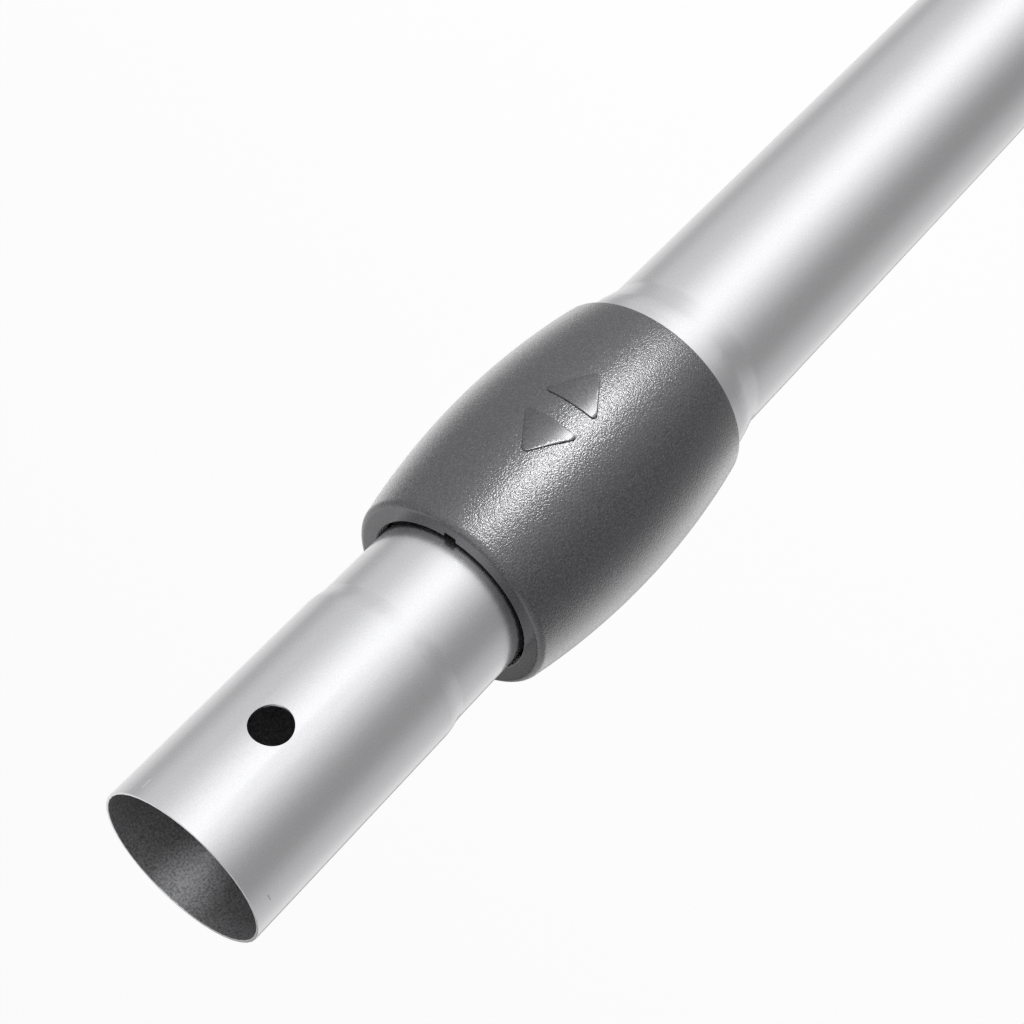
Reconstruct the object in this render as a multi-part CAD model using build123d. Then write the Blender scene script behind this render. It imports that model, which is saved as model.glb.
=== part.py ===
from build123d import *
import math
import os

# A telescopic vacuum wand: a thin inner tube that slides in a wider outer tube and is held by a
# roller in one of a row of notches. A barrel-shaped collar, pushed either way, frees the roller.
# The pieces are drawn lying along X, pushed together: x = 0 is the open end of the nozzle spigot, +X
# runs to the handle end, and +Z is the front, where the latch holes, the notches and the two arrows
# are. The finished wand stands on its handle end, with its front towards -Y. Sizes are millimetres.

# Inner tube and its nozzle spigot
NOZZLE_OD = 35.0
NOZZLE_LENGTH = 52.0
NOZZLE_STEP = 4.0
NECK_LENGTH = 17.0
NOZZLE_SWELL = 0.55
INNER_WALL = 0.55
EDGE_BREAK = 0.1

# Round holes for the spring buttons of a floor head and a handle
LATCH_HOLE_D = 8.2
LATCH_HOLE_X = 23.6
UPPER_LATCH_INSET = 20.0

# Outer tube
OUTER_WALL = 0.6
MOUTH_TAIL = 0.7
MOUTH_FLARE_LENGTH = 8.0
BEAD_LENGTH = 1.8
BEAD_HEIGHT = 0.5
SOCKET_CLEARANCE = 0.08
SOCKET_LENGTH = 40.0
SOCKET_STEP = 6.0

# Locking notches and roller
NOTCH_PITCH = 30.0
NOTCH_STEPS = 12
NOTCH_DEPTH = 1.2
ROLLER_D = 4.0
ROLLER_LENGTH = 10.0
ROLLER_CHAMFER = 0.3
ROLLER_CLEARANCE = 0.1

# Straight groove under the inner tube, which keeps it from turning
GROOVE_R = 2.4
GROOVE_DEPTH = 1.23
GROOVE_LEAD = 2.0
RIB_INSET = 4.0
RIB_CLEARANCE = 0.1

# Clearances between pieces that slide, sit or snap together
SLIDE_CLEARANCE = 0.1
LIP_CLEARANCE = 0.07
SEAT_CLEARANCE = 0.05
FIT_GAP = 0.1

# Guide sleeve between the tubes, with its wiper and seal
FLANGE_LENGTH = 2.0
SLEEVE_TAIL = 20.0
CAGE_COVER = 0.55
CAGE_WALL = 1.4
CAGE_TAIL = 2.4
SIDE_LUG_OFFSET = 10.0
SIDE_LUG_LENGTH = 4.0
SIDE_LUG_HALF_WIDTH = 3.0
SIDE_LUG_SINK = 0.15
TONGUE_HALF_WIDTH = 2.0
TONGUE_STAND = 0.7
WIPER_LENGTH = 2.4
WIPER_WALL = 1.75
WIPER_LIP_LENGTH = 1.2
WIPER_LIP_WALL = 0.6
SEAL_LENGTH = 2.5

# Leaf spring that presses the roller into its notch
LEAF_THICKNESS = 0.3
LEAF_HALF_WIDTH = 3.0
LEAF_LENGTH = 25.0
LEAF_FLAT = 5.0
LEAF_FOOT_LENGTH = 5.0
LEAF_DROP = 0.98
EAR_LENGTH = 3.4
EAR_PLAY = 0.4
EAR_DROP_PLAY = 0.2
EAR_CLEARANCE = 0.2
BAR_LENGTH = 2.5
BAR_INSET = 1.5

# Cam ring inside the collar
CAM_CLEARANCE = 0.3
CAM_WALL = 1.2
CAM_BAND = 2.0
CAM_WINDOW_PLAY = 0.5
CAM_WINDOW_SIDE = 1.9
CAM_RAMP_LENGTH = 4.0
CAM_RAMP_RISE = 1.7
CAM_KEYWAY_PLAY = 0.3
CAM_LUG_STAND = 0.7
CAM_LUG_LENGTH = 4.0
CAM_LUG_WIDTH = 4.0
CAM_LUG_ANGLES = (45, 135, 225, 315)

# Collar springs, their stop ring and the ring that closes the collar
SPRING_WIRE_D = 0.8
SPRING_CLEARANCE = 0.15
SPRING_TURNS = 3.5
SPRING_LENGTH = 11.5
STOP_RING_LENGTH = 2.0
RING_CLEARANCE = 0.6
END_RING_LENGTH = 2.4
END_RING_INSET = 0.6
END_RING_BEAD = 0.3
END_RING_BEAD_LENGTH = 0.9

# Collar
COLLAR_TRAVEL = 4.0
COLLAR_NOSE_ROOM = 2.0
COLLAR_TAIL_ROOM = 1.05
COLLAR_FACE_WALL = 3.0
COLLAR_NOSE_WALL = 0.85
COLLAR_BELLY_WALL = 3.4
COLLAR_BELLY_OFFSET = 0.5
COLLAR_RIM_WALL = 0.8
COLLAR_EDGE_R = 1.3
COLLAR_MOUTH_GAP = 0.7
CAVITY_NOSE_DRAFT = 1.1
CAVITY_NOSE_LENGTH = 3.0
MOUTH_NOTCH_WIDTH = 2.7
MOUTH_NOTCH_DEPTH = 1.2

# Raised arrows on the collar
ARROW_GAP = 5.1
ARROW_LENGTH = 9.7
ARROW_HALF_WIDTH = 6.3
ARROW_CORNER_R = 1.0
ARROW_HEIGHT = 0.3

# Glide shoes on the inner tube's hidden end
SHOE_LENGTH = 16.0
SHOE_WALL = 1.25
SHOE_RUNNING_CLEARANCE = 0.1
SHOE_LIP = 1.4
SHOE_PEG_D = 4.0
SHOE_SPLIT_GAP = 0.2
SHOE_SPARE = 25.45
SHOE_END_ROOM = 6.0

# Overshoot of cutting shapes
PAST = 1.0

# Radii, worked outwards from the inner tube
nozzle_r = NOZZLE_OD / 2
inner_r = nozzle_r - NOZZLE_SWELL
inner_bore_r = inner_r - INNER_WALL
roller_r = ROLLER_D / 2
notch_r = roller_r + ROLLER_CLEARANCE
roller_z = inner_r - NOTCH_DEPTH + notch_r
roller_top_z = roller_z + roller_r
groove_z = -(inner_r - GROOVE_DEPTH + GROOVE_R)
rib_r = GROOVE_R - RIB_CLEARANCE
sleeve_bore_r = inner_r + SLIDE_CLEARANCE
lip_bore_r = inner_r + LIP_CLEARANCE
mouth_r = roller_top_z + CAGE_COVER
mouth_bore_r = mouth_r - OUTER_WALL
sleeve_r = mouth_bore_r - SEAT_CLEARANCE
cage_r = mouth_r - SEAT_CLEARANCE
tongue_r = mouth_r + TONGUE_STAND
spring_coil_r = mouth_r + SPRING_CLEARANCE + SPRING_WIRE_D / 2
cam_in_r = mouth_r + CAM_CLEARANCE
cam_out_r = cam_in_r + CAM_WALL
cavity_r = cam_out_r + FIT_GAP
cavity_nose_r = cavity_r - CAVITY_NOSE_DRAFT
flange_r = cavity_r - RING_CLEARANCE
collar_mouth_r = inner_r + COLLAR_MOUTH_GAP
collar_front_r = cavity_nose_r + COLLAR_NOSE_WALL
collar_belly_r = cavity_r + COLLAR_BELLY_WALL
collar_back_r = cavity_r + COLLAR_RIM_WALL
shoe_seat_r = inner_r + SEAT_CLEARANCE
shoe_r = shoe_seat_r + SHOE_WALL
outer_bore_r = shoe_r + SHOE_RUNNING_CLEARANCE
outer_r = outer_bore_r + OUTER_WALL
socket_r = nozzle_r + SOCKET_CLEARANCE + OUTER_WALL
reach = 2 * collar_belly_r

# Leaf spring heights and the span of its ears
leaf_z = roller_top_z + SEAT_CLEARANCE
foot_z = leaf_z - LEAF_DROP
ear_top_z = leaf_z + LEAF_THICKNESS
ear_half_span = math.sqrt((cavity_r - EAR_CLEARANCE) ** 2 - ear_top_z**2)
valley_z = leaf_z - EAR_DROP_PLAY

# Places along the wand, worked back from the nozzle's end
cam_window_length = ROLLER_D + 2 * COLLAR_TRAVEL + 2 * CAM_WINDOW_PLAY
cam_length = cam_window_length + 2 * CAM_BAND
collar_x = NOZZLE_LENGTH + NOZZLE_STEP + NECK_LENGTH
collar_wall_x = collar_x + COLLAR_FACE_WALL
flange_x = collar_wall_x + COLLAR_NOSE_ROOM + COLLAR_TRAVEL
mouth_x = flange_x + FLANGE_LENGTH
cam_x = mouth_x + SPRING_LENGTH
lock_x = cam_x + cam_length / 2
cam_end_x = cam_x + cam_length
stop_ring_x = cam_end_x + SPRING_LENGTH + 2 * SEAT_CLEARANCE
bead_x = stop_ring_x + STOP_RING_LENGTH + SEAT_CLEARANCE
end_ring_x = bead_x + BEAD_LENGTH + COLLAR_TRAVEL + COLLAR_TAIL_ROOM
collar_back_x = end_ring_x + END_RING_LENGTH + END_RING_INSET
flare_x = collar_back_x + COLLAR_TRAVEL + MOUTH_TAIL
tongue_half_length = cam_length / 2 - COLLAR_TRAVEL - CAM_WINDOW_PLAY
tongue_end_x = lock_x + tongue_half_length
cage_end_x = lock_x + LEAF_LENGTH / 2 + CAGE_TAIL
cage_half_width = ROLLER_LENGTH / 2 + CAGE_WALL
side_lug_x = lock_x + SIDE_LUG_OFFSET
side_lug_end_x = side_lug_x + SIDE_LUG_LENGTH
sleeve_end_x = lock_x + SLEEVE_TAIL
seal_x = sleeve_end_x + SEAT_CLEARANCE
groove_x = mouth_x - GROOVE_LEAD
tube_travel = NOTCH_PITCH * NOTCH_STEPS
shoe_x = seal_x + SEAL_LENGTH + tube_travel + SHOE_SPARE
inner_end_x = shoe_x + SHOE_LENGTH
socket_x = inner_end_x + SHOE_END_ROOM + SOCKET_STEP
outer_end_x = socket_x + SOCKET_LENGTH


def box_between(x0, x1, y0, y1, z0, z1):
    size = (x1 - x0, y1 - y0, z1 - z0)
    centre = ((x0 + x1) / 2, (y0 + y1) / 2, (z0 + z1) / 2)
    return Pos(*centre) * Box(*size)


def turned(edges):
    """Turn a closed outline, drawn as (x, radius), about the wand's axis."""
    outline = make_face(Wire(edges))
    return revolve(outline, Axis.X, 360)


def turned_corners(corners):
    return turned(Polyline(*corners, close=True).edges())


def ring(x0, x1, r_in, r_out):
    return turned_corners([(x0, r_in), (x1, r_in), (x1, r_out), (x0, r_out)])


def rod_x(x0, x1, radius, z=0.0):
    rod = Cylinder(radius, x1 - x0, align=(Align.CENTER, Align.CENTER, Align.MIN))
    return Pos(x0, 0, z) * Rot(0, 90, 0) * rod


def rod_y(x, z, radius, length):
    return Pos(x, 0, z) * Rot(90, 0, 0) * Cylinder(radius, length)


def latch_hole(x):
    """A latch hole's drill, from the axis out through the front wall."""
    return Pos(x, 0, reach / 2) * Cylinder(LATCH_HOLE_D / 2, reach)


def tube(stations, wall):
    """A thin tube: level stretches between (x, radius) stations, joined by smooth flares."""
    edges = []
    for drop in (0.0, wall):
        for (xa, ra), (xb, rb) in zip(stations, stations[1:]):
            start = (xa, ra - drop)
            end = (xb, rb - drop)
            if ra == rb:
                edges.append(Line(start, end))
            else:
                edges.append(Spline(start, end, tangents=[(1, 0), (1, 0)]))
    for x, r in (stations[0], stations[-1]):
        edges.append(Line((x, r - wall), (x, r)))
    return turned(edges)


def rims_at(part, x):
    """The round edges that lie in the plane across the wand at x."""
    circles = part.edges().filter_by(GeomType.CIRCLE)
    return circles.filter_by(lambda edge: abs(edge.center().X - x) < EDGE_BREAK / 2)


def inner_tube():
    step_end_x = NOZZLE_LENGTH + NOZZLE_STEP
    stations = [(0, nozzle_r), (NOZZLE_LENGTH, nozzle_r), (step_end_x, inner_r), (inner_end_x, inner_r)]
    part = tube(stations, INNER_WALL)
    part = fillet(rims_at(part, 0), EDGE_BREAK)
    notch_xs = [lock_x + NOTCH_PITCH * i for i in range(NOTCH_STEPS + 1)]

    # each dent and the groove have the tube's own wall under them
    skin = Part() + [rod_y(x, roller_z, notch_r + INNER_WALL, reach) for x in notch_xs]
    round_x = groove_x + GROOVE_R
    skin += rod_x(round_x, inner_end_x, GROOVE_R + INNER_WALL, groove_z)
    skin += Pos(round_x, 0, groove_z) * Sphere(GROOVE_R + INNER_WALL)
    part += skin & rod_x(step_end_x, inner_end_x, inner_r)

    part -= rod_x(round_x, inner_end_x + PAST, GROOVE_R, groove_z)
    part -= Pos(round_x, 0, groove_z) * Sphere(GROOVE_R)
    part -= [rod_y(x, roller_z, notch_r, reach) for x in notch_xs]
    part -= latch_hole(LATCH_HOLE_X)
    part -= rod_y(shoe_x + SHOE_LENGTH / 2, 0, SHOE_PEG_D / 2 + FIT_GAP, reach)
    return part


def outer_tube():
    stations = [
        (mouth_x, mouth_r),
        (bead_x, mouth_r),
        (bead_x + BEAD_LENGTH / 2, mouth_r + BEAD_HEIGHT),
        (bead_x + BEAD_LENGTH, mouth_r),
        (flare_x, mouth_r),
        (flare_x + MOUTH_FLARE_LENGTH, outer_r),
        (socket_x - SOCKET_STEP, outer_r),
        (socket_x, socket_r),
        (outer_end_x, socket_r),
    ]
    part = tube(stations, OUTER_WALL)
    part = fillet(rims_at(part, outer_end_x), EDGE_BREAK)

    # open slots for the sleeve's cage and tongue, and windows for its snap lugs
    cage_w = cage_half_width + FIT_GAP
    part -= box_between(mouth_x - PAST, cage_end_x + FIT_GAP, -cage_w, cage_w, 0, reach)
    tongue_w = TONGUE_HALF_WIDTH + FIT_GAP
    part -= box_between(mouth_x - PAST, tongue_end_x + FIT_GAP, -tongue_w, tongue_w, -reach, 0)
    lug_w = SIDE_LUG_HALF_WIDTH + FIT_GAP
    part -= box_between(side_lug_x - FIT_GAP, side_lug_end_x + FIT_GAP, -reach, reach, -lug_w, lug_w)
    part -= latch_hole(outer_end_x - UPPER_LATCH_INSET)
    return part


def groove_rib(x0, x1):
    """A rib inside the sleeve or the seal that fills the inner tube's groove."""
    return rod_x(x0, x1, rib_r, groove_z) & rod_x(x0, x1, sleeve_r)


def guide_sleeve():
    part = ring(flange_x, mouth_x, sleeve_bore_r, flange_r)
    part += ring(mouth_x, sleeve_end_x, sleeve_bore_r, sleeve_r)

    # raised cage for the roller, tongue under the mouth and two snap lugs
    cage = ring(mouth_x, cage_end_x, sleeve_bore_r, cage_r)
    cage &= box_between(mouth_x, cage_end_x, -cage_half_width, cage_half_width, 0, reach)
    tongue = ring(mouth_x, tongue_end_x, sleeve_bore_r, cage_r)
    tongue += ring(lock_x - tongue_half_length, tongue_end_x, sleeve_bore_r, tongue_r)
    tongue &= box_between(mouth_x, tongue_end_x, -TONGUE_HALF_WIDTH, TONGUE_HALF_WIDTH, -reach, 0)
    lugs = ring(side_lug_x, side_lug_end_x, sleeve_bore_r, mouth_r - SIDE_LUG_SINK)
    lug_w = SIDE_LUG_HALF_WIDTH
    lugs &= box_between(side_lug_x, side_lug_end_x, -reach, reach, -lug_w, lug_w)
    part += [cage, tongue, lugs]
    part += groove_rib(mouth_x + RIB_INSET, sleeve_end_x)

    # pocket for the roller, and the leaf spring's seat under two bars
    pocket_y = ROLLER_LENGTH / 2 + ROLLER_CLEARANCE
    part -= box_between(lock_x - notch_r, lock_x + notch_r, -pocket_y, pocket_y, 0, reach)
    seat_x = LEAF_LENGTH / 2 + FIT_GAP
    seat_w = LEAF_HALF_WIDTH + FIT_GAP
    seat_z = foot_z - SEAT_CLEARANCE
    part -= box_between(lock_x - seat_x, lock_x + seat_x, -seat_w, seat_w, seat_z, reach)
    ear_x = EAR_LENGTH / 2 + EAR_PLAY
    part -= box_between(lock_x - ear_x, lock_x + ear_x, -reach, reach, leaf_z - FIT_GAP, reach)
    bar_z = foot_z + LEAF_THICKNESS + FIT_GAP
    bar_w = seat_w + FIT_GAP
    bar_skin = ring(mouth_x, cage_end_x, bar_z, cage_r)
    for side in (-1, 1):
        bar_x = lock_x + side * (LEAF_LENGTH / 2 - BAR_INSET - BAR_LENGTH / 2)
        bar = box_between(bar_x - BAR_LENGTH / 2, bar_x + BAR_LENGTH / 2, -bar_w, bar_w, bar_z, reach)
        part += bar_skin & bar

    # seat for the wiper ring in the front flange
    seat_end_x = flange_x + WIPER_LENGTH + FIT_GAP
    part -= ring(flange_x - PAST, seat_end_x, 0, lip_bore_r + WIPER_WALL + SEAT_CLEARANCE)
    return part


def wiper_ring():
    outside_r = lip_bore_r + WIPER_WALL
    back_x = flange_x + WIPER_LENGTH
    lip_x = flange_x - WIPER_LIP_LENGTH
    lip = [(lip_x, lip_bore_r + WIPER_LIP_WALL), (lip_x, lip_bore_r)]
    return turned_corners(lip + [(back_x, lip_bore_r), (back_x, outside_r), (flange_x, outside_r)])


def seal_ring():
    end_x = seal_x + SEAL_LENGTH
    return ring(seal_x, end_x, lip_bore_r, sleeve_r) + groove_rib(seal_x, end_x)


def locking_roller():
    part = rod_y(lock_x, roller_z, roller_r, ROLLER_LENGTH)
    return chamfer(part.edges().filter_by(GeomType.CIRCLE), ROLLER_CHAMFER)


def leaf_spring():
    end = LEAF_LENGTH / 2
    knee = end - LEAF_FOOT_LENGTH
    flat = LEAF_FLAT / 2
    level = [(1, 0), (1, 0)]
    path = []
    for rise in (0, LEAF_THICKNESS):
        low = foot_z + rise
        high = leaf_z + rise
        path.append(Line((-end, low), (-knee, low)))
        path.append(Spline((-knee, low), (-flat, high), tangents=level))
        path.append(Line((-flat, high), (flat, high)))
        path.append(Spline((flat, high), (knee, low), tangents=level))
        path.append(Line((knee, low), (end, low)))
    for x in (-end, end):
        path.append(Line((x, foot_z), (x, foot_z + LEAF_THICKNESS)))
    strip = extrude(Plane.XZ * make_face(Wire(path)), LEAF_HALF_WIDTH, both=True)
    ear = EAR_LENGTH / 2
    ears = box_between(-ear, ear, -ear_half_span, ear_half_span, leaf_z, ear_top_z)
    return Pos(lock_x, 0, 0) * (strip + ears)


def arrow_prism(direction):
    """A triangle with round corners that points along the wand, taller than the collar."""
    base_x = lock_x + COLLAR_BELLY_OFFSET + direction * ARROW_GAP / 2
    tip = (base_x + direction * ARROW_LENGTH, 0)
    corners = [(base_x, -ARROW_HALF_WIDTH), tip, (base_x, ARROW_HALF_WIDTH)]
    triangle = make_face(Polyline(*corners, close=True).edges())
    triangle = fillet(triangle.vertices(), ARROW_CORNER_R)
    return extrude(triangle, reach, dir=(0, 0, 1))


def barrel(lift):
    """The collar's solid outer form, or the same form lifted above the surface."""
    front = (collar_x, collar_front_r + lift)
    back = (collar_back_x, collar_back_r + lift)
    belly = (lock_x + COLLAR_BELLY_OFFSET, collar_belly_r + lift)
    sides = Polyline(back, (collar_back_x, 0), (collar_x, 0), front)
    return turned([ThreePointArc(front, belly, back)] + sides.edges())


def cam_lugs(radius, length, width):
    """Snap lugs on the cam ring, or the pockets that they snap into."""
    half = length / 2
    bar = box_between(lock_x - half, lock_x + half, -width / 2, width / 2, cam_in_r + FIT_GAP, reach)
    lugs = Part() + [Rot(angle, 0, 0) * bar for angle in CAM_LUG_ANGLES]
    return lugs & rod_x(lock_x - half, lock_x + half, radius)


def slide_collar():
    body = barrel(0)
    body = fillet(rims_at(body, collar_x), COLLAR_EDGE_R)
    lifted = barrel(ARROW_HEIGHT)
    body += [arrow_prism(direction) & lifted for direction in (-1, 1)]

    # hollow for the cam ring, its springs and the end ring, and the mouth round the inner tube
    bead_mid = end_ring_x + END_RING_LENGTH / 2
    bead_half = END_RING_BEAD_LENGTH / 2 + FIT_GAP
    bead_r = cavity_r + END_RING_BEAD
    past_x = collar_back_x + PAST
    cavity = [(collar_wall_x, 0), (collar_wall_x, cavity_nose_r)]
    cavity += [(collar_wall_x + CAVITY_NOSE_LENGTH, cavity_r), (bead_mid - bead_half, cavity_r)]
    cavity += [(bead_mid - bead_half, bead_r), (bead_mid + bead_half, bead_r)]
    cavity += [(bead_mid + bead_half, cavity_r), (past_x, cavity_r), (past_x, 0)]
    body -= turned_corners(cavity)
    body -= rod_x(collar_x - PAST, collar_wall_x + PAST, collar_mouth_r)

    notch_w = MOUTH_NOTCH_WIDTH / 2
    notch_z = collar_mouth_r + MOUTH_NOTCH_DEPTH
    body -= box_between(collar_x - PAST, collar_wall_x + PAST, -notch_w, notch_w, 0, notch_z)
    pocket_r = cam_out_r + CAM_LUG_STAND + FIT_GAP
    body -= cam_lugs(pocket_r, CAM_LUG_LENGTH + 2 * FIT_GAP, CAM_LUG_WIDTH + 2 * FIT_GAP)
    return body


def cam_ring():
    part = ring(cam_x, cam_end_x, cam_in_r, cam_out_r)
    part += cam_lugs(cam_out_r + CAM_LUG_STAND, CAM_LUG_LENGTH, CAM_LUG_WIDTH)
    half = cam_window_length / 2
    width = ROLLER_LENGTH / 2 + CAM_WINDOW_SIDE
    part -= box_between(lock_x - half, lock_x + half, -width, width, 0, reach)

    # valley and ramps beside the window, which lift the leaf spring's ears
    flat = EAR_LENGTH / 2 + EAR_PLAY
    ramp = flat + CAM_RAMP_LENGTH
    ramp_z = valley_z + CAM_RAMP_RISE
    floor = [(-flat, valley_z), (flat, valley_z)]
    walls = [(ramp, ramp_z), (ramp, reach), (-ramp, reach), (-ramp, ramp_z)]
    outline = make_face(Polyline(*floor, *walls, close=True).edges())
    part -= Pos(lock_x, 0, 0) * extrude(Plane.XZ * outline, ear_half_span + EAR_PLAY, both=True)

    # keyway along the ring's underside, which runs on the sleeve's tongue
    key_w = TONGUE_HALF_WIDTH + CAM_KEYWAY_PLAY
    keyway = box_between(cam_x - PAST, cam_end_x + PAST, -key_w, key_w, -reach, 0)
    part -= keyway & rod_x(cam_x - PAST, cam_end_x + PAST, tongue_r + CAM_KEYWAY_PLAY)
    return part


def coil_spring(x0, x1):
    """A spring between two seats, standing off each by a small gap."""
    wire_r = SPRING_WIRE_D / 2
    start = x0 + wire_r + SEAT_CLEARANCE
    height = x1 - x0 - SPRING_WIRE_D - 2 * SEAT_CLEARANCE
    path = Helix(height / SPRING_TURNS, height, spring_coil_r, center=(start, 0, 0), direction=(1, 0, 0))
    section = Plane(origin=path @ 0, z_dir=path % 0) * Circle(wire_r)
    return sweep(section, path=path)


def spring_stop_ring():
    return ring(stop_ring_x, stop_ring_x + STOP_RING_LENGTH, mouth_r + SEAT_CLEARANCE, flange_r)


def collar_end_ring():
    end_x = end_ring_x + END_RING_LENGTH
    mid = (end_ring_x + end_x) / 2
    half = END_RING_BEAD_LENGTH / 2
    rim_r = cavity_r - SEAT_CLEARANCE
    part = ring(end_ring_x, end_x, cam_in_r, rim_r)
    return part + ring(mid - half, mid + half, cam_in_r, rim_r + END_RING_BEAD)


def glide_shoe(side):
    """One half of the bush on the inner tube's hidden end, with the peg that holds it."""
    lip_x = inner_end_x + SEAT_CLEARANCE
    end_x = lip_x + SHOE_LIP
    part = ring(shoe_x, end_x, shoe_seat_r, shoe_r) + ring(lip_x, end_x, inner_bore_r, shoe_r)
    peg = rod_y(shoe_x + SHOE_LENGTH / 2, 0, SHOE_PEG_D / 2, reach)
    part += peg & ring(shoe_x, inner_end_x, inner_bore_r, shoe_r)
    near, far = sorted((side * SHOE_SPLIT_GAP / 2, side * reach))
    return part & box_between(shoe_x - PAST, end_x + PAST, near, far, -reach, reach)


nodes = {
    "inner_tube": inner_tube(),
    "outer_tube": outer_tube(),
    "guide_sleeve": guide_sleeve(),
    "wiper_ring": wiper_ring(),
    "seal_ring": seal_ring(),
    "locking_roller": locking_roller(),
    "leaf_spring": leaf_spring(),
    "slide_collar": slide_collar(),
    "cam_ring": cam_ring(),
    "front_coil_spring": coil_spring(mouth_x, cam_x),
    "rear_coil_spring": coil_spring(cam_end_x, stop_ring_x),
    "spring_stop_ring": spring_stop_ring(),
    "collar_end_ring": collar_end_ring(),
    "glide_shoe_left": glide_shoe(1),
    "glide_shoe_right": glide_shoe(-1),
}

# +X turns to point down and +Z to point forwards, and the handle end comes to the ground
upright = Pos(0, 0, outer_end_x) * Rot(0, 0, -90) * Rot(0, 90, 0)
os.makedirs("parts", exist_ok=True)
for name, shape in nodes.items():
    export_step(upright * shape, f"parts/{name}.step")
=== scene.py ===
"""The looks of a telescopic vacuum wand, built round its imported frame.

The wand stands on its handle end along Z, with its nozzle end up and its front towards -Y. All
sizes are metres.
"""

import math
import bmesh
import bpy
from mathutils import Matrix, Vector


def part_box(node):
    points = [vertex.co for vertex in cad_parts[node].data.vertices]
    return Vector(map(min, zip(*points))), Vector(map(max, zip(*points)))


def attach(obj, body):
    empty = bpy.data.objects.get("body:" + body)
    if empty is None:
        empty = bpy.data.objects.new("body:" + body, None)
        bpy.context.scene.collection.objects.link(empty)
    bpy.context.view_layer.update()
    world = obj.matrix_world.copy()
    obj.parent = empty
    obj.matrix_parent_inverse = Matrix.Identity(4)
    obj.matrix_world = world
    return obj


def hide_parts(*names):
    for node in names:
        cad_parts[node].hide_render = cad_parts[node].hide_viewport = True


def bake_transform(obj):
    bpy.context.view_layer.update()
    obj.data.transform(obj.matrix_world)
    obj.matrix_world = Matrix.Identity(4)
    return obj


bl_info = {
    "name": "Telescopic vacuum wand",
    "version": (1, 0, 0),
    "blender": (4, 5, 0),
    "location": "3D View > Sidebar > Wand",
    "description": "Models and finishes a telescopic vacuum wand and lights it in a plain studio",
    "category": "Object",
}

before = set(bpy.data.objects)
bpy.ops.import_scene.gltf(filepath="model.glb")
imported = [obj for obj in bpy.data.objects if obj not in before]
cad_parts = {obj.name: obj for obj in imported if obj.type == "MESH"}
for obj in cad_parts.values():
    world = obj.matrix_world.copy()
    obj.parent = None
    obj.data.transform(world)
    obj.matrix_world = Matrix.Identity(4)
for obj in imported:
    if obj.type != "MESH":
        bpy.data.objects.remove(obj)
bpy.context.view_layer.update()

nozzle_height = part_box("inner_tube")[1].z
collar_low, collar_high = (corner.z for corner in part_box("slide_collar"))

# Where the photograph was taken from: the camera's place from the centre of the nozzle's open end,
# the directions of its right hand and its aim, and its lens and sensor in millimetres
CAMERA_PLACE = Vector((-0.13246, -0.34869, 0.11693))
CAMERA_RIGHT = Vector((-0.78906, -0.06679, -0.61067))
CAMERA_AIM = Vector((0.31425, 0.81027, -0.49467))
CAMERA_LENS = 78.75
CAMERA_SENSOR = 36.0

# The studio seen in the wand's gloss: brightness by the angle round the wand, in degrees from its
# front, positive towards -X. A softbox stands in front, a grey wall on one side and a dark one on
# the other, and the white backdrop behind has a narrow dark gap.
STUDIO_BANDS = [
    (-180, 0.92), (-178, 0.92), (-174, 0.20), (-162, 0.20), (-158, 1.05), (-150, 1.05),
    (-125, 0.88), (-112, 0.80), (-100, 0.52), (-92, 0.55), (-84, 0.60), (-76, 0.74),
    (-60, 0.80), (-44, 0.86), (-36, 0.98), (-26, 1.14), (-12, 1.38), (0, 1.48),
    (8, 1.45), (16, 1.31), (28, 1.06), (36, 0.88), (46, 0.72), (60, 0.48),
    (76, 0.38), (96, 0.38), (106, 0.46), (118, 0.57), (134, 0.66), (150, 0.74),
    (162, 0.86), (180, 0.92),
]
# A colour ramp stops at 1, so it holds each band as a share of this brightness
BAND_LIMIT = 2

SOFTBOX_PLACE = Vector((0.25, -0.45, nozzle_height + 0.9))
SOFTBOX_TARGET = Vector((0, 0, nozzle_height - 0.15))
SOFTBOX_SIZE = (0.9, 0.9)

# The strip light in front of the wand draws the bright streak along the collar
STRIP_PLACE = Vector((-0.014, -0.45, 0.235))
STRIP_SIZE = (0.06, 0.43)

# Two lights behind the wand brighten the collar's edges: name, angle as above, width, brightness
RIM_LIGHTS = (("right_rim_light", 150, 0.38, 0.78), ("left_rim_light", -121, 0.24, 0.62))
RIM_DISTANCE = 0.45

# The share of the floor that glows for the camera alone. The rest takes the shadow.
FLOOR_GLOW = 0.85

# The inside pieces' finishes: colour, roughness, metallic, and the grain's width and height
INSIDE_FINISHES = {
    "black_moulded_plastic": ((0.03, 0.03, 0.032), 0.4, 0.0, 0.0004, 0.00001),
    "slippery_sleeve_plastic": ((0.05, 0.05, 0.052), 0.3, 0.0, 0.0006, 0.000006),
    "black_rubber": ((0.015, 0.015, 0.015), 0.7, 0.0, 0.0003, 0.00002),
    "ground_roller_steel": ((0.6, 0.6, 0.61), 0.18, 1.0, 0.0005, 0.000002),
    "bright_spring_wire": ((0.6, 0.6, 0.61), 0.22, 1.0, 0.0005, 0.000003),
    "blued_leaf_steel": ((0.42, 0.43, 0.46), 0.3, 1.0, 0.0004, 0.000003),
}

# How much each pattern lightens or darkens its finish
MOTTLE_TONE = 0.3
SCUFF_TONE = 0.3
NICK_TONE = 0.35
GRIT_TONE = 2.4
GRIT_DARKNESS = 0.3
CLOUD_TONE = 0.4
# How bright the painted patch of light inside the nozzle is
PAINTED_LIGHT_TONE = 2.6
GRAIN_TONE = 7
GRAIN_DARKNESS = 2.5

# How much each pattern roughens its finish
INSIDE_DULLNESS = 0.16
FLAKE_DULLNESS = 0.05
COLLAR_DULLNESS = 0.08
GRAIN_DULLNESS = 0.1

# A wall faces inwards where its place across the wand, times its normal, lies below this
INWARDS = -0.004

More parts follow.
